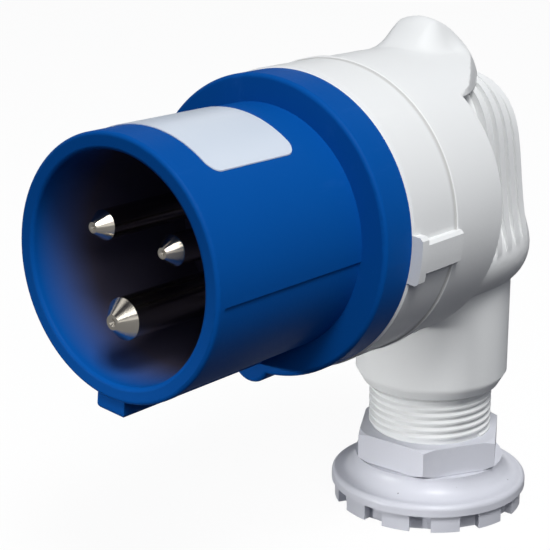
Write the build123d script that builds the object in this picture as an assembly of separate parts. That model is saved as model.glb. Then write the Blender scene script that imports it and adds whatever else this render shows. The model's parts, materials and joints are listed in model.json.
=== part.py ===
from build123d import *
from math import cos, radians, sin
import os

# Right-angle 16 A 2P+E plug. Millimetres, +Z up, pins toward -Y.
# The gland's axis is on Z, with the foot of the gland at Z = 0.

# Driving sizes of the plug half
shroud_od = 43.4
shroud_wall = 2.9
lip_round = 0.7
collar_rise = 4.8
body_proud = 0.3
collar_front = 35.0
collar_rear = 42.3
groove_at = 56.5
step_at = 70.3
gland_setback = 89.0
axis_height = 68.0
face_turn = 6.0
collar_round = 0.8

# Fits and small breaks
slide_gap = 0.10
seat_gap = 0.05
pin_gap = 0.06
thread_gap = 0.10
label_gap = 0.02
edge_break = 0.4

# Key rib, lug and base of the shroud
parting_angle = 90
parting_step = 0.3
parting_front = 1.6
key_width = 6.0
key_rise = 3.0
key_start = 0.8
key_round = 1.0
lug_d = 8.4
lug_rise = 2.4
ledge_at = 36.0
ledge_thick = 2.0
ledge_width = 2.8
spigot_wall = 3.7
spigot_end = 49.0
boss_size = (2.4, 1.4, 3.0)
boss_inset = 1.4
boss_angles = (62, 88, -62, -88)

# Label
label_front = 7.0
label_back = 27.0
label_half_width = 12.8
label_thick = 0.15
label_corner = 2.2

# Pins
pin_circle_d = 17.5
line_d = 5.0
earth_d = 7.0
line_tip = 2.6
earth_tip = 0.3
tip_len = 2.4
tip_ratio = 0.36
dimple_ratio = 0.20
dimple_depth = 0.5
line_flange_d = 8.0
earth_flange_d = 9.6
flange_from = 40.4
root_step = 0.4
root_stand = 0.2
line_tail_d = 7.2
earth_tail_d = 8.0
tail_end = 56.0
wire_hole_d = 3.3
wire_hole_depth = 9.0
screw_inset = 4.5
screw_d = 3.2
screw_head_d = 5.0
screw_head_len = 1.8
screw_stand = 0.15
slot_width = 0.9
slot_depth = 0.9
line_angles = (60, -60)
earth_angle = 180

# Pin carrier and retainer
carrier_front = 35.6
carrier_rear = 43.0
retainer_rear = 46.0
retainer_screw_r = 13.5
retainer_screw_angles = (0, 120, 240)
retainer_screw_d = 2.6
retainer_screw_len = 8.0

# Gasket and coupling ring
gasket_w = 2.6
ring_wall = 3.2
bead_width = 1.3
bead_rise = 0.35
tab_low = -3.0
tab_high = 3.0
tab_rise = 1.3
tab_break = 0.5
tab_foot = 1.0
tab_back = 1.0
hook_len = 1.9
hook_low = -4.2
hook_high = 4.2
hook_rise = 1.8

# Rear body
nose_start = 50.0
nose_wall = 2.3
barrel_wall = 3.6
barrel_wall_rear = 67.5
barrel_round = 0.6
grip_bore_r = 8.6
grip_bore_end = 91.0
grip_core = ((12.0, -21.0), (17.6, -18.0), (19.7, -12.6), (17.8, -6.5), (16.2, 1.0),
             (15.2, 9.0), (13.2, 16.5), (8.6, 21.4), (0, 23.2))
rib_core = ((12.0, -19.6), (16.8, -17.0), (19.6, -11.6), (19.0, -6.5), (17.8, 1.0),
            (16.9, 9.0), (14.6, 16.8), (9.4, 22.0), (0, 23.8))
grip_stations = ((62.0, 0.84, 0.74, 0.90), (70.0, 0.95, 0.84, 0.96), (77.0, 1.0, 0.95, 1.0),
                 (84.0, 1.0, 0.99, 1.0), (91.0, 0.92, 0.97, 1.0), (96.5, 0.76, 0.88, 0.98),
                 (101.0, 0.55, 0.69, 0.92), (103.6, 0.38, 0.48, 0.85))
rib_stations = ((82.0, 1.0, 0.99), (85.5, 0.985, 0.99), (89.0, 0.95, 0.975), (92.5, 0.89, 0.945))
rib_thick = 1.7
rib_low = 1.0

# Hood that runs back from the barrel and rises to the thumb fin
hood_arch = ((1.0, 0), (0.88, 0.40), (0.58, 0.76), (0.26, 0.95), (0, 1.0))
hood_stations = ((57.5, 26.2, 15.0, 19.0), (62.5, 27.6, 16.6, 19.6), (66.5, 30.2, 17.2, 20.0),
                 (70.3, 32.0, 17.4, 20.0), (76.0, 32.8, 15.6, 20.0), (82.0, 32.2, 12.6, 20.0),
                 (88.0, 29.8, 9.4, 19.6), (93.0, 25.2, 6.4, 18.0), (96.6, 19.6, 4.4, 15.0),
                 (99.0, 14.4, 2.6, 11.0))
elbow_d = 30.8
elbow_top = -13.0
elbow_round = 2.8
elbow_end_z = 25.8
elbow_end_d = 27.6

# Gland
thread_d = 23.6
thread_end_z = 4.6
seal_seat_z = 12.6
seal_bore_d = 14.0
spigot_seal_d = 18.8
wire_way_d = 16.4
cap_overhang = 0.7
cap_rim_low = 3.6
cap_rim_high = 5.9
cap_rim_round = 1.0
cap_rim_flat = 1.3
cap_crown_z = 9.7
cap_crown_r = 15.2
cap_hollow = 0.55
cap_floor = 3.4
skirt_d = 38.7
tooth_depth = 1.8
tooth_count = 12
hex_sides = 6
notch_share = 0.42
nut_wall = 2.0
nut_low = 9.8
nut_high = 15.7
nut_chamfer = 1.1
washer_thick = 0.9

plug = Location((0, -gland_setback, axis_height), (-90, 0, 0))
# The plug's face and ring stand turned a little against the elbow
face = plug * Rot(0, 0, face_turn)
shroud_r = shroud_od / 2
bore_r = shroud_r - shroud_wall
collar_r = shroud_r + collar_rise
body_r = collar_r + body_proud
ring_bore_r = body_r - ring_wall
spigot_r = ring_bore_r - 2 * slide_gap
spigot_bore_r = spigot_r - spigot_wall
nose_bore_r = spigot_r - nose_wall
barrel_bore_r = body_r - barrel_wall
ledge_r = bore_r - ledge_width
boss_r = bore_r - boss_inset
key_reach = shroud_r + key_rise
lug_reach = collar_r + lug_rise
thread_r = thread_d / 2
screw_at = tail_end - screw_inset
cap_r = skirt_d / 2 + cap_overhang
nut_across = thread_d + 2 * nut_wall


def turned(points):
    return revolve(make_face(Plane.XZ * Polyline(*points, close=True)), Axis.Z)


def tube(r_in, r_out, low, high):
    return turned([(r_in, low), (r_out, low), (r_out, high), (r_in, high)])


def rod(r, low, high):
    return Pos(0, 0, low) * Cylinder(r, high - low, align=(Align.CENTER, Align.CENTER, Align.MIN))


def block(x, y, z):
    centre = ((x[0] + x[1]) / 2, (y[0] + y[1]) / 2, (z[0] + z[1]) / 2)
    return Pos(*centre) * Box(x[1] - x[0], y[1] - y[0], z[1] - z[0])


def polar(radius, angle):
    # Angle from twelve o'clock toward +X; the local Y axis points down
    return radius * sin(radians(angle)), -radius * cos(radians(angle))


def front_shroud():
    profile = [
        (bore_r, 0), (shroud_r, 0), (shroud_r, collar_front), (collar_r, collar_front),
        (collar_r, collar_rear), (spigot_r, collar_rear), (spigot_r, spigot_end),
        (spigot_bore_r, spigot_end), (spigot_bore_r, ledge_at + ledge_thick),
        (ledge_r, ledge_at + ledge_thick), (ledge_r, ledge_at), (bore_r, ledge_at),
    ]
    body = turned(profile)
    rings = body.edges().filter_by(GeomType.CIRCLE)
    lip = rings.filter_by(lambda e: abs(e.center().Z) < edge_break)
    body = fillet(lip, lip_round)
    rings = body.edges().filter_by(GeomType.CIRCLE)
    rims = rings.filter_by(lambda e: abs(e.center().Z - collar_front) < edge_break)
    body = fillet(rims.sort_by(SortBy.RADIUS)[-1], collar_round)
    skin = tube(shroud_r - parting_step, shroud_r + parting_step, parting_front, collar_front)
    low_half = -shroud_r * cos(radians(parting_angle))
    body -= skin & block((-collar_r, collar_r), (low_half, collar_r), (0, collar_front))
    root = shroud_r - key_round
    key = block((-key_width / 2, key_width / 2), (root, key_reach), (key_start, collar_front + key_round))
    low = key.edges().filter_by(Axis.Z).group_by(Axis.Y)[-1]
    front = key.edges().filter_by(Axis.X).group_by(Axis.Y)[-1].group_by(Axis.Z)[0]
    key = fillet(low + front, key_round)
    lug = Pos(0, lug_reach - lug_d / 2, 0) * rod(lug_d / 2, collar_front, collar_rear - collar_round)
    lug = fillet(lug.edges().filter_by(GeomType.CIRCLE).sort_by(Axis.Z)[0], collar_round)
    body = body + key + lug
    for angle in boss_angles:
        x, y = polar(boss_r, angle)
        boss = Box(*boss_size, align=(Align.CENTER, Align.CENTER, Align.MAX))
        body += Pos(x, y, ledge_at + edge_break) * Rot(0, 0, angle - 90) * boss
    return body


def rating_label():
    skin = tube(shroud_r + label_gap, shroud_r + label_gap + label_thick, label_front, label_back)
    width = 2 * label_half_width
    length = label_back - label_front
    outline = Plane.XZ * RectangleRounded(width, length, label_corner)
    window = extrude(Pos(0, 0, (label_front + label_back) / 2) * outline, amount=2 * shroud_r)
    return skin & window


def pin(diameter, tip, flange_d, tail_d):
    r = diameter / 2
    tip_r = r * tip_ratio
    profile = [
        (0, tip + dimple_depth), (r * dimple_ratio, tip), (tip_r, tip), (r, tip + tip_len),
        (r, carrier_front - root_stand), (r + root_step, carrier_front - root_stand),
        (r + root_step, flange_from),
        (flange_d / 2, flange_from), (flange_d / 2, carrier_rear),
        (tail_d / 2, carrier_rear), (tail_d / 2, tail_end), (wire_hole_d / 2, tail_end),
        (wire_hole_d / 2, tail_end - wire_hole_depth), (0, tail_end - wire_hole_depth),
    ]
    body = turned(profile)
    hole = Pos(0, 0, screw_at) * Rot(90, 0, 0) * Cylinder(
        screw_d / 2 + thread_gap, tail_d, align=(Align.CENTER, Align.CENTER, Align.MIN))
    return body - hole


def placed_pin(diameter, tip, flange_d, tail_d, angle):
    x, y = polar(pin_circle_d / 2, angle)
    return Pos(x, y, 0) * Rot(0, 0, angle) * pin(diameter, tip, flange_d, tail_d)


def terminal_screw(tail_d, angle):
    reach = tail_d / 2 + screw_stand
    shank = rod(screw_d / 2, wire_hole_d / 2 + screw_stand, reach)
    head = rod(screw_head_d / 2, reach, reach + screw_head_len)
    slot = block((-screw_head_d, screw_head_d), (-slot_width / 2, slot_width / 2),
                 (reach + screw_head_len - slot_depth, reach + 2 * screw_head_len))
    x, y = polar(pin_circle_d / 2, angle)
    return Pos(x, y, screw_at) * Rot(0, 0, angle) * Rot(90, 0, 0) * (shank + head - slot)


def pin_sites():
    sites = [(line_d, line_flange_d, line_tail_d, angle) for angle in line_angles]
    return sites + [(earth_d, earth_flange_d, earth_tail_d, earth_angle)]


def pin_carrier():
    flange_r = spigot_bore_r - slide_gap
    seat = ledge_at + ledge_thick + seat_gap
    boss = ledge_r - slide_gap
    body = turned([(0, carrier_front), (boss, carrier_front), (boss, seat), (flange_r, seat),
                   (flange_r, carrier_rear), (0, carrier_rear)])
    for diameter, flange_d, tail_d, angle in pin_sites():
        x, y = polar(pin_circle_d / 2, angle)
        hole = rod(diameter / 2 + root_step + pin_gap, 0, tail_end)
        pocket = rod(flange_d / 2 + pin_gap, flange_from - seat_gap, tail_end)
        body -= Pos(x, y, 0) * (hole + pocket)
    for angle in retainer_screw_angles:
        x, y = polar(retainer_screw_r, angle)
        body -= Pos(x, y, 0) * rod(retainer_screw_d / 2 + thread_gap,
                                   retainer_rear - retainer_screw_len - thread_gap, tail_end)
    return body


def pin_retainer():
    body = rod(spigot_bore_r - slide_gap, carrier_rear + seat_gap, retainer_rear)
    for diameter, flange_d, tail_d, angle in pin_sites():
        x, y = polar(pin_circle_d / 2, angle)
        body -= Pos(x, y, 0) * rod(tail_d / 2 + pin_gap, 0, tail_end)
    for angle in retainer_screw_angles:
        x, y = polar(retainer_screw_r, angle)
        body -= Pos(x, y, 0) * rod(retainer_screw_d / 2 + thread_gap, 0, tail_end)
    return body


def retainer_screws():
    top = retainer_rear + seat_gap
    one = rod(retainer_screw_d / 2, retainer_rear - retainer_screw_len, top)
    one += rod(screw_head_d / 2, top, top + screw_head_len)
    one -= block((-screw_head_d, screw_head_d), (-slot_width / 2, slot_width / 2),
                 (top + screw_head_len - slot_depth, top + 2 * screw_head_len))
    return Compound([Pos(*polar(retainer_screw_r, angle), 0) * one for angle in retainer_screw_angles])


def shroud_gasket():
    return tube(spigot_r - gasket_w, spigot_r - slide_gap, spigot_end + seat_gap, nose_start - seat_gap)


def ring_pad(low, high, start, end, rise):
    # Local Y points down, so the band of heights is turned over
    pad = tube(body_r - tab_foot, body_r + rise, start, end)
    pad &= block((0, body_r + 2 * rise), (-high, -low), (start, end))
    rims = pad.edges().filter_by(Axis.Z).sort_by(Axis.X)[-2:]
    return chamfer(rims, tab_break)


def ring_tab():
    front = collar_rear + slide_gap
    hook = ring_pad(hook_low, hook_high, front, front + hook_len, hook_rise)
    return hook + ring_pad(tab_low, tab_high, front, groove_at - tab_back, tab_rise)


def coupling_ring():
    front = collar_rear + slide_gap
    rear = groove_at - slide_gap
    bead = rear - bead_width
    body = turned([(ring_bore_r, front), (body_r - edge_break, front), (body_r, front + edge_break),
                   (body_r, bead - bead_rise), (body_r + bead_rise, bead),
                   (body_r + bead_rise, rear - bead_rise), (body_r, rear), (ring_bore_r, rear)])
    tab = ring_tab()
    return body + tab + mirror(tab, Plane.YZ)


def grip_section(points, at, top, width, low):
    right = [(x * width, -(up * (top if up > 0 else low))) for x, up in points]
    left = [(-x, y) for x, y in reversed(right[:-1])]
    flank = Spline(*(right + left))
    return Pos(0, 0, at) * make_face(flank + Line(flank @ 1, flank @ 0))


def hood_section(at, top, half, foot):
    right = [(half * across, -(foot + (top - foot) * up)) for across, up in hood_arch]
    left = [(-x, y) for x, y in reversed(right[:-1])]
    arch = Spline(*(right + left))
    return Pos(0, 0, at) * make_face(arch + Line(arch @ 1, arch @ 0))


def grip():
    body = loft([grip_section(grip_core, at, top, width, low) for at, top, width, low in grip_stations])
    for at, top, width in rib_stations:
        body += extrude(grip_section(rib_core, at - rib_thick / 2, top, width, rib_low), amount=rib_thick)
    return body + loft([hood_section(*station) for station in hood_stations])


def barrel():
    body = turned([(0, groove_at), (body_r, groove_at), (body_r, step_at), (0, step_at)])
    rims = body.edges().filter_by(GeomType.CIRCLE)
    body = fillet(rims.group_by(Axis.Z)[-1], barrel_round)
    return body + tube(nose_bore_r, spigot_r - slide_gap, nose_start, groove_at + edge_break)


def elbow():
    r = elbow_d / 2
    end_r = elbow_end_d / 2
    top = axis_height + elbow_top
    return turned([(0, thread_end_z), (thread_r, thread_end_z), (thread_r, elbow_end_z),
                   (end_r, elbow_end_z), (r, elbow_end_z + elbow_round), (r, top), (0, top)])


def rear_body():
    body = plug * (barrel() + grip()) + elbow()
    hollow = plug * (rod(barrel_bore_r, groove_at - edge_break, barrel_wall_rear)
                     + rod(grip_bore_r, groove_at, grip_bore_end))
    throat = rod(spigot_seal_d / 2, 0, seal_seat_z) + rod(wire_way_d / 2, 0, axis_height)
    lead = plug * rod(nose_bore_r, nose_start - edge_break, groove_at + edge_break)
    return body - hollow - throat - lead


def lock_nut():
    outline = RegularPolygon(nut_across / 2, hex_sides, major_radius=False)
    blank = extrude(Pos(0, 0, nut_low) * outline, amount=nut_high - nut_low)
    corner = nut_across / (2 * cos(radians(180 / hex_sides)))
    dome = turned([(0, nut_low), (corner - nut_chamfer, nut_low), (corner, nut_low + nut_chamfer / 2),
                   (corner, nut_high - nut_chamfer / 2), (corner - nut_chamfer, nut_high), (0, nut_high)])
    return (blank & dome) - rod(thread_r + thread_gap, 0, elbow_end_z)


def thrust_washer():
    low = cap_floor + seat_gap
    return tube(seal_bore_d / 2, thread_r, low, low + washer_thick)


def cable_seal():
    low = cap_floor + 2 * seat_gap + washer_thick
    return tube(seal_bore_d / 2, spigot_seal_d / 2 - seat_gap, low, seal_seat_z - seat_gap)


def gland_cap():
    bore = thread_r + thread_gap
    flat = cap_r - cap_rim_flat
    hollow = (cap_crown_r + (flat - cap_crown_r) * cap_hollow / 2,
              cap_rim_high + (cap_crown_z - cap_rim_high) * cap_hollow / 2)
    inside = Polyline((cap_crown_r, cap_crown_z), (bore, cap_crown_z), (bore, cap_floor),
                      (seal_bore_d / 2, cap_floor), (seal_bore_d / 2, 0), (skirt_d / 2, 0),
                      (skirt_d / 2, cap_rim_low), (cap_r, cap_rim_low), (cap_r, cap_rim_high),
                      (flat, cap_rim_high))
    dish = ThreePointArc((flat, cap_rim_high), hollow, (cap_crown_r, cap_crown_z))
    body = revolve(make_face(Plane.XZ * (inside + dish)), Axis.Z)
    rims = body.edges().filter_by(GeomType.CIRCLE).filter_by(lambda e: e.radius > cap_r - edge_break)
    body = fillet(rims.sort_by(Axis.Z)[-1], cap_rim_round)
    pitch = 360 / tooth_count
    width = skirt_d / 2 * radians(pitch * notch_share)
    root = skirt_d / 2 - tooth_depth
    notch = block((root, 2 * cap_r), (-width / 2, width / 2), (-edge_break, cap_rim_low))
    for index in range(tooth_count):
        body -= Rot(0, 0, index * pitch) * notch
    return body


nodes = {
    "front_shroud": face * front_shroud(),
    "rating_label": face * rating_label(),
    "pin_carrier": face * pin_carrier(),
    "pin_retainer": face * pin_retainer(),
    "retainer_screws": face * retainer_screws(),
    "shroud_gasket": plug * shroud_gasket(),
    "coupling_ring": face * coupling_ring(),
    "rear_body": rear_body(),
    "lock_nut": lock_nut(),
    "thrust_washer": thrust_washer(),
    "cable_seal": cable_seal(),
    "gland_cap": gland_cap(),
}
for name, angle in zip(("line", "neutral"), line_angles):
    nodes[name + "_pin"] = face * placed_pin(line_d, line_tip, line_flange_d, line_tail_d, angle)
    nodes[name + "_terminal_screw"] = face * terminal_screw(line_tail_d, angle)
nodes["earth_pin"] = face * placed_pin(earth_d, earth_tip, earth_flange_d, earth_tail_d, earth_angle)
nodes["earth_terminal_screw"] = face * terminal_screw(earth_tail_d, earth_angle)

os.makedirs("parts", exist_ok=True)
for name, solid in nodes.items():
    export_step(solid, "parts/" + name + ".step")
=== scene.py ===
import bpy
import json
import math
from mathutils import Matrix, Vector

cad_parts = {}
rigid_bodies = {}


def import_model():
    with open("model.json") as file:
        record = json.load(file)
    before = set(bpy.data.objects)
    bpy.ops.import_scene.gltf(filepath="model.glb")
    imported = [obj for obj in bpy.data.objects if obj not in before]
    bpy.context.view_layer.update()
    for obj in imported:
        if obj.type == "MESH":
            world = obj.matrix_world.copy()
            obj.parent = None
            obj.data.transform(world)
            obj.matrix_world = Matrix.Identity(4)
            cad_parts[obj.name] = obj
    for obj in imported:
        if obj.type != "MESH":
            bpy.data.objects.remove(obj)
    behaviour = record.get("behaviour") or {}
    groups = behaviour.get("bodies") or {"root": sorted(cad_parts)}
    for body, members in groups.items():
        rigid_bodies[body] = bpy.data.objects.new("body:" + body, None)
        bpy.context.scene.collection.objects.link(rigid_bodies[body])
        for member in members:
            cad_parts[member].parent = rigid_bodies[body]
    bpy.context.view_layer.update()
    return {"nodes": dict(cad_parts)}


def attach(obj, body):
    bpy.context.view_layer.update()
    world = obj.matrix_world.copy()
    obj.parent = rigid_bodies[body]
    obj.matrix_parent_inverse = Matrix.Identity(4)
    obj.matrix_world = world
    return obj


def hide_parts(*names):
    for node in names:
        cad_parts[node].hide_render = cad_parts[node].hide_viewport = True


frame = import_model()
nodes = frame["nodes"]
print("frame loaded:", len(nodes), "nodes")

mm = 0.001
mergeGap = 0.000002  # metres; corners nearer than this are one
axisHeight = 68.0  # the plug's axis above the gland's foot, in mm


# camera, from the lip circles and the gland in the picture
cameraView = {
    "lipCentre": (0, -89.0, axisHeight),
    "azimuth": 39.74,
    "elevation": 15.91,
    "distance": 232.5,
    "aside": 24.93,
    "focalPixels": 1507.0,
    "picture": 550,
    "sensor": 36,
    "shift": (0.0, -0.0081),
    "clip": (0.01, 20),
}


def placeCamera(view):
    a = math.radians(view["azimuth"])
    e = math.radians(view["elevation"])
    back = Vector((math.sin(a) * math.cos(e), -math.cos(a) * math.cos(e), math.sin(e)))
    right = Vector((math.cos(a), math.sin(a), 0))
    eye = Vector(view["lipCentre"]) + back * view["distance"] + right * view["aside"]
    data = bpy.data.cameras.new("photoCamera")
    camera = bpy.data.objects.new("photoCamera", data)
    bpy.context.scene.collection.objects.link(camera)
    camera.location = eye * mm
    camera.rotation_mode = "QUATERNION"
    camera.rotation_quaternion = (-back).to_track_quat("-Z", "Y")
    data.sensor_width = view["sensor"]
    data.lens = view["focalPixels"] / view["picture"] * view["sensor"]
    data.shift_x, data.shift_y = view["shift"]
    data.clip_start, data.clip_end = view["clip"]
    bpy.context.scene.camera = camera


placeCamera(cameraView)
print("camera placed")


def mathNode(tree, operation, value=None):
    node = tree.nodes.new("ShaderNodeMath")
    node.operation = operation
    if value is not None:
        node.inputs[1].default_value = value
    return node


def colourMix(tree, factor):
    mix = tree.nodes.new("ShaderNodeMix")
    mix.data_type = "RGBA"
    tree.links.new(factor, mix.inputs["Factor"])
    return mix


# white room: a faint sky, a high key lamp, a weak fill on the right,
# and a low gridded strip for the elbow and the gland
studio = {
    "worldColour": (0.74, 0.82, 1.0, 1),
    "worldStrength": 0.15,
    "worldMirror": 1.0,
    "lampAim": (0, -0.03, 0.06),
    "keyAt": (0.48, -0.40, 0.95),
    "keySize": 0.36,
    "keyPower": 9.3,
    "fillAt": (0.85, -0.65, 0.75),
    "fillSize": 0.5,
    "fillPower": 3.4,
    "lowAt": (-0.46, -0.92, 0.02),
    "lowAim": (0, 0, 0.02),
    "lowSize": 0.4,
    "lowTall": 0.05,
    "lowSpread": 6.0,
    "lowPower": 0.062,
    "cardScale": 3.0,
    "cardEdge": (0.51, 0.55),
    "cardDark": (0.05, 0.05, 0.06, 1),
    "floorSize": 12.0,
    "floorAt": (0, 0, -0.0002),
    "floorBounce": (0.035, 0.035, 0.045, 1),
    "floorSeen": (0.80, 0.80, 0.80, 1),
    "floorWhite": 0.93,
    "floorMirror": 0.16,
    "floorGlow": 1.025,
}


def seenRays(tree, mirrorShare):
    # 1 to the eye and through glass, mirrorShare in a mirror, 0 where it only lights things
    path = tree.nodes.new("ShaderNodeLightPath")
    clear = mathNode(tree, "MAXIMUM")
    mirror = mathNode(tree, "MULTIPLY", mirrorShare)
    seen = mathNode(tree, "MAXIMUM")
    tree.links.new(path.outputs["Is Camera Ray"], clear.inputs[0])
    tree.links.new(path.outputs["Is Transmission Ray"], clear.inputs[1])
    tree.links.new(path.outputs["Is Glossy Ray"], mirror.inputs[0])
    tree.links.new(clear.outputs[0], seen.inputs[0])
    tree.links.new(mirror.outputs[0], seen.inputs[1])
    return seen.outputs[0]


def hangCards(tree, room):
    # white to the camera; bright metal also finds a few dark cards in the room
    place = tree.nodes.new("ShaderNodeTexCoord")
    spots = tree.nodes.new("ShaderNodeTexNoise")
    spots.inputs["Scale"].default_value = room["cardScale"]
    spots.inputs["Detail"].default_value = 0.0
    edge = tree.nodes.new("ShaderNodeValToRGB")
    for stop, position in zip(edge.color_ramp.elements, room["cardEdge"]):
        stop.position = position
    edge.color_ramp.elements[0].color = room["cardDark"]
    path = tree.nodes.new("ShaderNodeLightPath")
    pick = colourMix(tree, path.outputs["Is Glossy Ray"])
    pick.inputs["A"].default_value = (1, 1, 1, 1)
    tree.links.new(place.outputs["Generated"], spots.inputs["Vector"])
    tree.links.new(spots.outputs["Fac"], edge.inputs["Fac"])
    tree.links.new(edge.outputs["Color"], pick.inputs["B"])
    return pick.outputs["Result"]


def paintRoom(room):
    world = bpy.data.worlds.new("whiteRoom")
    bpy.context.scene.world = world
    world.use_nodes = True
    tree = world.node_tree
    tree.nodes.clear()
    out = tree.nodes.new("ShaderNodeOutputWorld")
    soft = tree.nodes.new("ShaderNodeBackground")
    soft.inputs["Color"].default_value = room["worldColour"]
    soft.inputs["Strength"].default_value = room["worldStrength"]
    white = tree.nodes.new("ShaderNodeBackground")
    mix = tree.nodes.new("ShaderNodeMixShader")
    tree.links.new(hangCards(tree, room), white.inputs["Color"])
    tree.links.new(seenRays(tree, room["worldMirror"]), mix.inputs[0])
    tree.links.new(soft.outputs[0], mix.inputs[1])
    tree.links.new(white.outputs[0], mix.inputs[2])
    tree.links.new(mix.outputs[0], out.inputs["Surface"])


def addLamp(name, at, size, power, aim):
    data = bpy.data.lights.new(name, "AREA")
    data.size = size
    data.energy = power
    lamp = bpy.data.objects.new(name, data)
    bpy.context.scene.collection.objects.link(lamp)
    lamp.location = at
    lamp.rotation_mode = "QUATERNION"
    lamp.rotation_quaternion = (Vector(aim) - Vector(at)).to_track_quat("-Z", "Y")
    return data


def hangLamps(room):
    addLamp("keyLamp", room["keyAt"], room["keySize"], room["keyPower"], room["lampAim"])
    addLamp("fillLamp", room["fillAt"], room["fillSize"], room["fillPower"], room["lampAim"])
    strip = addLamp("lowStrip", room["lowAt"], room["lowSize"], room["lowPower"], room["lowAim"])
    strip.shape = "RECTANGLE"
    strip.size_y = room["lowTall"]
    strip.spread = math.radians(room["lowSpread"])


def layFloor(room):
    # white to the eye and dim in the pins, as a bench would be
    bpy.ops.object.select_all(action="DESELECT")
    bpy.ops.mesh.primitive_plane_add(size=room["floorSize"], location=room["floorAt"])
    floor = bpy.context.object
    floor.name = "paleFloor"
    paint = bpy.data.materials.new("paleFloor")
    paint.use_nodes = True
    tree = paint.node_tree
    tree.nodes.clear()
    out = tree.nodes.new("ShaderNodeOutputMaterial")
    level = seenRays(tree, room["floorMirror"])
    tint = colourMix(tree, level)
    tint.inputs["A"].default_value = room["floorBounce"]
    tint.inputs["B"].default_value = room["floorSeen"]
    chalk = tree.nodes.new("ShaderNodeBsdfDiffuse")
    glow = tree.nodes.new("ShaderNodeEmission")
    glow.inputs["Color"].default_value = (1, 1, 1, 1)
    glow.inputs["Strength"].default_value = room["floorGlow"]
    share = mathNode(tree, "MULTIPLY", room["floorWhite"])
    mix = tree.nodes.new("ShaderNodeMixShader")
    tree.links.new(tint.outputs["Result"], chalk.inputs["Color"])
    tree.links.new(level, share.inputs[0])
    tree.links.new(share.outputs[0], mix.inputs[0])
    tree.links.new(chalk.outputs[0], mix.inputs[1])
    tree.links.new(glow.outputs[0], mix.inputs[2])
    tree.links.new(mix.outputs[0], out.inputs["Surface"])
    floor.data.materials.append(paint)


paintRoom(studio)
hangLamps(studio)
layFloor(studio)
bpy.context.scene.view_settings.view_transform = "Standard"
print("studio lit")


# one shared group: moulded grain, slow clouding, fine rubbed scratches and dark specks
moulding = {
    "scales": {"Grain Scale": 900.0, "Cloud Scale": 40.0, "Scratch Scale": 220.0},
    "grainDetail": 3.0,
    "cloudDetail": 4.0,
    "cloudRough": 0.55,
    "scratchTurn": (0.3, 0.2, 0.5),
    "scratchStretch": (1.0, 0.12, 0.5),
    "scratchDetail": 6.0,
    "scratchRough": 0.7,
    "scratchEdge": (0.60, 0.74),
    "speckScale": 250.0,
    "speckSize": 0.045,
}


def addOutput(group, name):
    group.interface.new_socket(name=name, in_out="OUTPUT", socket_type="NodeSocketFloat")


def makeSurfaceGroup(skin):
    group = bpy.data.node_groups.new("mouldedSurface", "ShaderNodeTree")
    for name, value in skin["scales"].items():
        socket = group.interface.new_socket(
            name=name, in_out="INPUT", socket_type="NodeSocketFloat")
        socket.default_value = value
    for name in ("Grain", "Cloud", "Scratch", "Speck"):
        addOutput(group, name)
    links = group.links
    start = group.nodes.new("NodeGroupInput")
    end = group.nodes.new("NodeGroupOutput")
    place = group.nodes.new("ShaderNodeTexCoord")
    grain = group.nodes.new("ShaderNodeTexNoise")
    grain.inputs["Detail"].default_value = skin["grainDetail"]
    cloud = group.nodes.new("ShaderNodeTexNoise")
    cloud.inputs["Detail"].default_value = skin["cloudDetail"]
    cloud.inputs["Roughness"].default_value = skin["cloudRough"]
    stretch = group.nodes.new("ShaderNodeMapping")
    stretch.inputs["Rotation"].default_value = skin["scratchTurn"]
    stretch.inputs["Scale"].default_value = skin["scratchStretch"]
    scratch = group.nodes.new("ShaderNodeTexNoise")
    scratch.inputs["Detail"].default_value = skin["scratchDetail"]
    scratch.inputs["Roughness"].default_value = skin["scratchRough"]
    pick = group.nodes.new("ShaderNodeValToRGB")
    for stop, position in zip(pick.color_ramp.elements, skin["scratchEdge"]):
        stop.position = position
    dots = group.nodes.new("ShaderNodeTexVoronoi")
    dots.inputs["Scale"].default_value = skin["speckScale"]
    speck = mathNode(group, "LESS_THAN", skin["speckSize"])
    for texture in (grain, cloud, dots, stretch):
        links.new(place.outputs["Object"], texture.inputs["Vector"])
    links.new(stretch.outputs["Vector"], scratch.inputs["Vector"])
    links.new(start.outputs["Grain Scale"], grain.inputs["Scale"])
    links.new(start.outputs["Cloud Scale"], cloud.inputs["Scale"])
    links.new(start.outputs["Scratch Scale"], scratch.inputs["Scale"])
    links.new(scratch.outputs["Fac"], pick.inputs["Fac"])
    links.new(dots.outputs["Distance"], speck.inputs[0])
    links.new(grain.outputs["Fac"], end.inputs["Grain"])
    links.new(cloud.outputs["Fac"], end.inputs["Cloud"])
    links.new(pick.outputs["Color"], end.inputs["Scratch"])
    links.new(speck.outputs[0], end.inputs["Speck"])
    return group


def readPlugAxis(group):
    # distance from the plug's axis, and place along it
    links = group.links
    place = group.nodes.new("ShaderNodeTexCoord")
    split = group.nodes.new("ShaderNodeSeparateXYZ")
    lowered = mathNode(group, "SUBTRACT", axisHeight * mm)
    flat = group.nodes.new("ShaderNodeCombineXYZ")
    radius = group.nodes.new("ShaderNodeVectorMath")
    radius.operation = "LENGTH"
    links.new(place.outputs["Object"], split.inputs["Vector"])
    links.new(split.outputs["Z"], lowered.inputs[0])
    links.new(split.outputs["X"], flat.inputs["X"])
    links.new(lowered.outputs[0], flat.inputs["Y"])
    links.new(flat.outputs["Vector"], radius.inputs[0])
    return radius.outputs["Value"], split.outputs["Y"]


# painted shade: the mouth's wall darkens with depth, and a painted shadow line lies on the ring
# at the foot of its rear bead
mouthShadeBand = {"insideR": 18.9, "from": -88.0, "to": -76.0, "stop": 0.0}
beadShadowBand = {"insideR": 27.17, "from": -34.95, "to": -34.25, "stop": -34.06}


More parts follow.
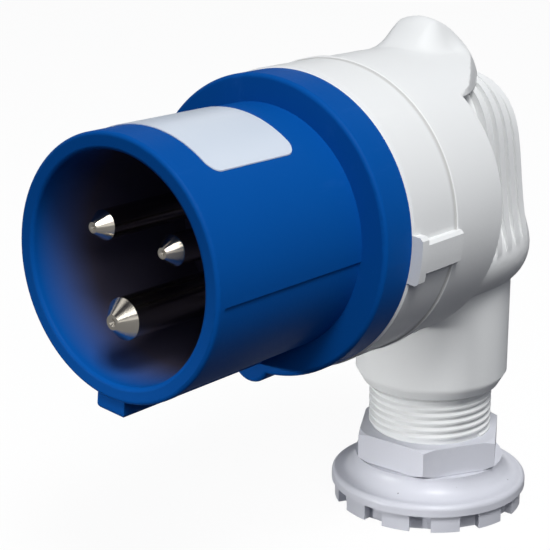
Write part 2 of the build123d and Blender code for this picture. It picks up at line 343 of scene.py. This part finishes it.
def makeBandGroup(name, band):
    # inside a radius, grows from 0 to 1 along the axis and stops dead at its far end
    group = bpy.data.node_groups.new(name, "ShaderNodeTree")
    addOutput(group, "Band")
    links = group.links
    end = group.nodes.new("NodeGroupOutput")
    radius, along = readPlugAxis(group)
    inside = mathNode(group, "LESS_THAN", band["insideR"] * mm)
    before = mathNode(group, "LESS_THAN", band["stop"] * mm)
    grow = group.nodes.new("ShaderNodeMapRange")
    grow.inputs["From Min"].default_value = band["from"] * mm
    grow.inputs["From Max"].default_value = band["to"] * mm
    near = mathNode(group, "MULTIPLY")
    both = mathNode(group, "MULTIPLY")
    links.new(radius, inside.inputs[0])
    links.new(along, before.inputs[0])
    links.new(along, grow.inputs["Value"])
    links.new(inside.outputs[0], near.inputs[0])
    links.new(before.outputs[0], near.inputs[1])
    links.new(near.outputs[0], both.inputs[0])
    links.new(grow.outputs["Result"], both.inputs[1])
    links.new(both.outputs[0], end.inputs["Band"])
    return group


# turning marks: fine rings about whichever pin axis is nearest, stepping along the pin as well
turning = {
    "axes": ((-0.9146, 59.2979), (7.9935, 71.5589), (-7.0789, 73.1431)),
    "alongShare": 0.6,
    "waves": 42000.0,
}


def makeTurningGroup(marks):
    group = bpy.data.node_groups.new("turnedRings", "ShaderNodeTree")
    addOutput(group, "Ring")
    links = group.links
    end = group.nodes.new("NodeGroupOutput")
    place = group.nodes.new("ShaderNodeTexCoord")
    split = group.nodes.new("ShaderNodeSeparateXYZ")
    flat = group.nodes.new("ShaderNodeCombineXYZ")
    links.new(place.outputs["Object"], split.inputs["Vector"])
    links.new(split.outputs["X"], flat.inputs["X"])
    links.new(split.outputs["Z"], flat.inputs["Y"])
    nearest = None
    for x, z in marks["axes"]:
        away = group.nodes.new("ShaderNodeVectorMath")
        away.operation = "DISTANCE"
        away.inputs[1].default_value = (x * mm, z * mm, 0)
        links.new(flat.outputs["Vector"], away.inputs[0])
        if nearest is None:
            nearest = away.outputs["Value"]
            continue
        least = mathNode(group, "MINIMUM")
        links.new(nearest, least.inputs[0])
        links.new(away.outputs["Value"], least.inputs[1])
        nearest = least.outputs[0]
    along = mathNode(group, "MULTIPLY_ADD", marks["alongShare"])
    wave = mathNode(group, "MULTIPLY", marks["waves"])
    ring = mathNode(group, "SINE")
    links.new(split.outputs["Y"], along.inputs[0])
    links.new(nearest, along.inputs[2])
    links.new(along.outputs[0], wave.inputs[0])
    links.new(wave.outputs[0], ring.inputs[0])
    links.new(ring.outputs[0], end.inputs["Ring"])
    return group


surfaceGroup = makeSurfaceGroup(moulding)
mouthShadeGroup = makeBandGroup("mouthShadeDepth", mouthShadeBand)
beadShadowGroup = makeBandGroup("beadShadowLine", beadShadowBand)
turningGroup = makeTurningGroup(turning)

# what all finishes share; depths in metres
common = {
    "rubbedShare": 0.35,
    "speckColour": (0.10, 0.10, 0.11),
    "grainDepth": 0.0004,
    "turnedDepth": 0.00005,
    "coatRough": 0.2,
}

finishes = {
    "shroudBlue": {
        "colour": (0.002, 0.085, 0.36), "clouded": (0.002, 0.072, 0.32),
        # painted shade: this line's last colour darkens the mouth's inner wall with depth
        "rubbed": (0.02, 0.12, 0.45), "paintedDeepShade": (0.086, 0.078, 0.120),
        "rough": (0.42, 0.54), "grain": 1500, "cloud": 35, "scratch": 160, "bump": 0.05,
        "metal": 0.0, "coat": 0.0, "shine": 0.03,
    },
    "carrierNavy": {
        "colour": (0.086, 0.078, 0.120), "clouded": (0.074, 0.067, 0.103),
        "rubbed": (0.11, 0.10, 0.15),
        "rough": (0.45, 0.58), "grain": 1500, "cloud": 35, "scratch": 160, "bump": 0.05,
        "metal": 0.0, "coat": 0.0, "shine": 0.10,
    },
    "bodyWhite": {
        "colour": (0.85, 0.86, 0.85), "clouded": (0.80, 0.81, 0.81),
        # painted shadow: this line's last colour is laid at the foot of the coupling ring's rear
        # bead
        "rubbed": (0.88, 0.88, 0.87), "paintedBeadShadow": (0.56, 0.56, 0.55),
        "rough": (0.36, 0.50), "grain": 1500, "cloud": 30, "scratch": 150, "bump": 0.05,
        "metal": 0.0, "coat": 0.0, "shine": 0.08,
    },
    "glandWhite": {
        "colour": (0.69, 0.70, 0.75), "clouded": (0.64, 0.65, 0.71),
        "rubbed": (0.76, 0.76, 0.80), "speck": 0.6,
        "rough": (0.28, 0.36), "grain": 1400, "cloud": 45, "scratch": 170, "bump": 0.02,
        "metal": 0.0, "coat": 0.0, "shine": 0.30,
    },
    "platedPin": {
        "colour": (0.66, 0.62, 0.55), "clouded": (0.54, 0.50, 0.43),
        "rubbed": (0.82, 0.79, 0.73),
        "rough": (0.10, 0.22), "grain": 900, "cloud": 120, "scratch": 420, "turned": 0.08,
        "metal": 1.0, "coat": 0.0, "shine": 0.5,
    },
    "zincSteel": {
        "colour": (0.62, 0.62, 0.62), "clouded": (0.50, 0.50, 0.51),
        "rubbed": (0.80, 0.80, 0.80),
        "rough": (0.22, 0.40), "grain": 900, "cloud": 150, "scratch": 420, "bump": 0.03,
        "metal": 1.0, "coat": 0.0, "shine": 0.5,
    },
    "sealRubber": {
        "colour": (0.022, 0.022, 0.024), "clouded": (0.03, 0.03, 0.03),
        "rubbed": (0.06, 0.06, 0.06),
        "rough": (0.55, 0.75), "grain": 1200, "cloud": 60, "scratch": 200, "bump": 0.08,
        "metal": 0.0, "coat": 0.0, "shine": 0.3,
    },
    "blackInsulator": {
        "colour": (0.03, 0.03, 0.034), "clouded": (0.04, 0.04, 0.045),
        "rubbed": (0.09, 0.09, 0.09),
        "rough": (0.40, 0.58), "grain": 1200, "cloud": 50, "scratch": 200, "bump": 0.05,
        "metal": 0.0, "coat": 0.0, "shine": 0.3,
    },
    "barePaper": {
        "colour": (0.66, 0.72, 0.80), "clouded": (0.61, 0.68, 0.77),
        "rubbed": (0.56, 0.62, 0.70),
        "rough": (0.30, 0.42), "grain": 2200, "cloud": 70, "scratch": 260, "bump": 0.03,
        "metal": 0.0, "coat": 0.1, "shine": 0.4,
    },
}


def placeGroup(tree, group):
    node = tree.nodes.new("ShaderNodeGroup")
    node.node_tree = group
    return node


def blend(tree, colour, factor, other):
    mix = colourMix(tree, factor)
    mix.inputs["B"].default_value = (*other, 1)
    tree.links.new(colour, mix.inputs["A"])
    return mix.outputs["Result"]


def weaken(tree, mask, share):
    less = mathNode(tree, "MULTIPLY", share)
    tree.links.new(mask, less.inputs[0])
    return less.outputs[0]


def mixColour(tree, surface, look):
    clouding = colourMix(tree, surface.outputs["Cloud"])
    clouding.inputs["A"].default_value = (*look["colour"], 1)
    clouding.inputs["B"].default_value = (*look["clouded"], 1)
    faint = weaken(tree, surface.outputs["Scratch"], common["rubbedShare"])
    colour = blend(tree, clouding.outputs["Result"], faint, look["rubbed"])
    if "speck" in look:
        spots = weaken(tree, surface.outputs["Speck"], look["speck"])
        colour = blend(tree, colour, spots, common["speckColour"])
    # painted shade deep in the mouth, and a painted shadow at the foot of the ring's rear bead
    for key, group in (("paintedDeepShade", mouthShadeGroup), ("paintedBeadShadow", beadShadowGroup)):
        if key in look:
            colour = blend(tree, colour, placeGroup(tree, group).outputs["Band"], look[key])
    return colour


def roughenSkin(tree, surface, look):
    # moulded grain, or turning marks on the pins
    bump = tree.nodes.new("ShaderNodeBump")
    if "turned" in look:
        height = placeGroup(tree, turningGroup).outputs["Ring"]
        bump.inputs["Strength"].default_value = look["turned"]
        bump.inputs["Distance"].default_value = common["turnedDepth"]
    else:
        height = surface.outputs["Grain"]
        bump.inputs["Strength"].default_value = look["bump"]
        bump.inputs["Distance"].default_value = common["grainDepth"]
    tree.links.new(height, bump.inputs["Height"])
    return bump.outputs["Normal"]


def makeFinish(name, look):
    paint = bpy.data.materials.new(name)
    paint.use_nodes = True
    tree = paint.node_tree
    links = tree.links
    shader = tree.nodes["Principled BSDF"]
    surface = placeGroup(tree, surfaceGroup)
    surface.inputs["Grain Scale"].default_value = look["grain"]
    surface.inputs["Cloud Scale"].default_value = look["cloud"]
    surface.inputs["Scratch Scale"].default_value = look["scratch"]
    links.new(mixColour(tree, surface, look), shader.inputs["Base Color"])
    span = tree.nodes.new("ShaderNodeMapRange")
    span.inputs["To Min"].default_value, span.inputs["To Max"].default_value = look["rough"]
    links.new(surface.outputs["Grain"], span.inputs["Value"])
    links.new(span.outputs["Result"], shader.inputs["Roughness"])
    links.new(roughenSkin(tree, surface, look), shader.inputs["Normal"])
    shader.inputs["Metallic"].default_value = look["metal"]
    shader.inputs["Coat Weight"].default_value = look["coat"]
    shader.inputs["Coat Roughness"].default_value = common["coatRough"]
    shader.inputs["Specular IOR Level"].default_value = look["shine"]
    return paint


paints = {name: makeFinish(name, look) for name, look in finishes.items()}

finishNodes = {
    "shroudBlue": ("front_shroud",),
    "carrierNavy": ("pin_carrier",),
    "barePaper": ("rating_label",),
    "platedPin": ("line_pin", "neutral_pin", "earth_pin"),
    "zincSteel": ("line_terminal_screw", "neutral_terminal_screw", "earth_terminal_screw",
                  "retainer_screws"),
    "blackInsulator": ("pin_retainer",),
    "sealRubber": ("shroud_gasket", "cable_seal"),
    "bodyWhite": ("coupling_ring", "rear_body"),
    "glandWhite": ("lock_nut", "gland_cap", "thrust_washer"),
}


def dressNodes(plan):
    for finish, names in plan.items():
        for name in names:
            node = nodes[name]
            if not node.material_slots:
                node.data.materials.append(paints[finish])
            for slot in node.material_slots:
                slot.material = paints[finish]


dressNodes(finishNodes)
print("nodes dressed")


# elbow body with the slimmer hood of the picture:
# it rises further back than the solid's and runs out softly
slimHood = {
    "barrelR": 26.801, "reach": (-32.0, 6.0), "finer": 2,
    "crownHalf": 3.4, "footHalf": 9.0, "frontFoot": -15.5, "frontCrown": -7.0,
    "rearKept": 3.0, "lift": 0.97, "smoothAngle": 30,
}


def easeStep(low, high, value):
    t = min(max((value - low) / (high - low), 0.0), 1.0)
    return t * t * (3 - 2 * t)


def hoodShare(hood, x, y):
    # how much of the solid's hood is left here, from 0 to lift
    side = 1 - easeStep(hood["crownHalf"], hood["footHalf"], abs(x))
    rear = easeStep(hood["frontCrown"], hood["rearKept"], y)
    front = easeStep(hood["frontFoot"], hood["frontCrown"], y)
    return hood["lift"] * front * (side + (1 - side) * rear)


def inHood(hood, place):
    x, y, z = place / mm
    over = math.hypot(x, z - axisHeight) > hood["barrelR"]
    return over and z > axisHeight and hood["reach"][0] < y < hood["reach"][1]


def drawIn(hood, place):
    x, y, z = place / mm
    up = z - axisHeight
    r = math.hypot(x, up)
    drawn = (hood["barrelR"] + (r - hood["barrelR"]) * hoodShare(hood, x, y)) / r
    return Vector((x * drawn, y, axisHeight + up * drawn)) * mm


def shapeElbow(hood):
    bpy.ops.object.select_all(action="DESELECT")
    piece = bpy.data.objects.new("elbowBody", nodes["rear_body"].data.copy())
    bpy.context.scene.collection.objects.link(piece)
    bpy.context.view_layer.objects.active = piece
    piece.select_set(True)
    bpy.ops.mesh.customdata_custom_splitnormals_clear()
    bpy.ops.object.mode_set(mode="EDIT")
    bpy.ops.mesh.select_all(action="SELECT")
    bpy.ops.mesh.remove_doubles(threshold=mergeGap)
    bpy.ops.mesh.select_all(action="DESELECT")
    bpy.ops.object.mode_set(mode="OBJECT")
    for face in piece.data.polygons:
        face.select = inHood(hood, face.center)
    bpy.ops.object.mode_set(mode="EDIT")
    bpy.ops.mesh.subdivide(number_cuts=hood["finer"])
    bpy.ops.mesh.select_all(action="SELECT")
    bpy.ops.mesh.quads_convert_to_tris()
    bpy.ops.object.mode_set(mode="OBJECT")
    for vertex in piece.data.vertices:
        if inHood(hood, vertex.co):
            vertex.co = drawIn(hood, vertex.co)
    bpy.ops.object.shade_smooth_by_angle(
        angle=math.radians(hood["smoothAngle"]), keep_sharp_edges=False)
    even = piece.modifiers.new("even", "WEIGHTED_NORMAL")
    even.keep_sharp = True
    bpy.ops.object.modifier_apply(modifier="even")
    for slot in piece.material_slots:
        slot.material = paints["bodyWhite"]
    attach(piece, "root")
    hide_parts("rear_body")
    print("elbow body:", len(piece.data.polygons), "triangles")


shapeElbow(slimHood)
print("hood shaped")


# spigot thread, a ridge wound on the plain cylinder and sunk a little into it
threadRidge = {
    "coreR": 11.8, "crestR": 12.5, "sink": 0.25, "pitch": 1.5, "footShare": 0.46, "flat": 0.18,
    "low": 15.9, "high": 25.2, "steps": 72, "endSides": 6, "smoothAngle": 35,
}


def windThread(thread):
    bpy.ops.object.select_all(action="DESELECT")
    bpy.ops.mesh.primitive_plane_add(size=1)
    piece = bpy.context.object
    piece.name = "spigotThread"
    half = thread["pitch"] * thread["footShare"]
    flat = thread["flat"]
    crest = thread["crestR"]
    root = thread["coreR"] - thread["sink"]
    corners = ((root, -half), (crest, -flat), (root, half), (crest, flat))
    for vertex, (r, z) in zip(piece.data.vertices, corners):
        vertex.co = (r * mm, 0, (z + thread["low"]) * mm)
    turns = (thread["high"] - thread["low"]) / thread["pitch"]
    wind = piece.modifiers.new("wind", "SCREW")
    wind.axis = "Z"
    wind.steps = thread["steps"]
    wind.render_steps = thread["steps"]
    wind.iterations = int(turns)
    wind.screw_offset = thread["pitch"] * mm
    bpy.ops.object.modifier_apply(modifier="wind")
    bpy.ops.object.mode_set(mode="EDIT")
    bpy.ops.mesh.select_all(action="SELECT")
    bpy.ops.mesh.remove_doubles(threshold=mergeGap)
    bpy.ops.mesh.fill_holes(sides=thread["endSides"])
    bpy.ops.mesh.normals_make_consistent(inside=False)
    bpy.ops.object.mode_set(mode="OBJECT")
    bpy.ops.object.shade_smooth_by_angle(angle=math.radians(thread["smoothAngle"]))
    piece.data.materials.append(paints["bodyWhite"])
    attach(piece, "root")


windThread(threadRidge)
print("thread wound")
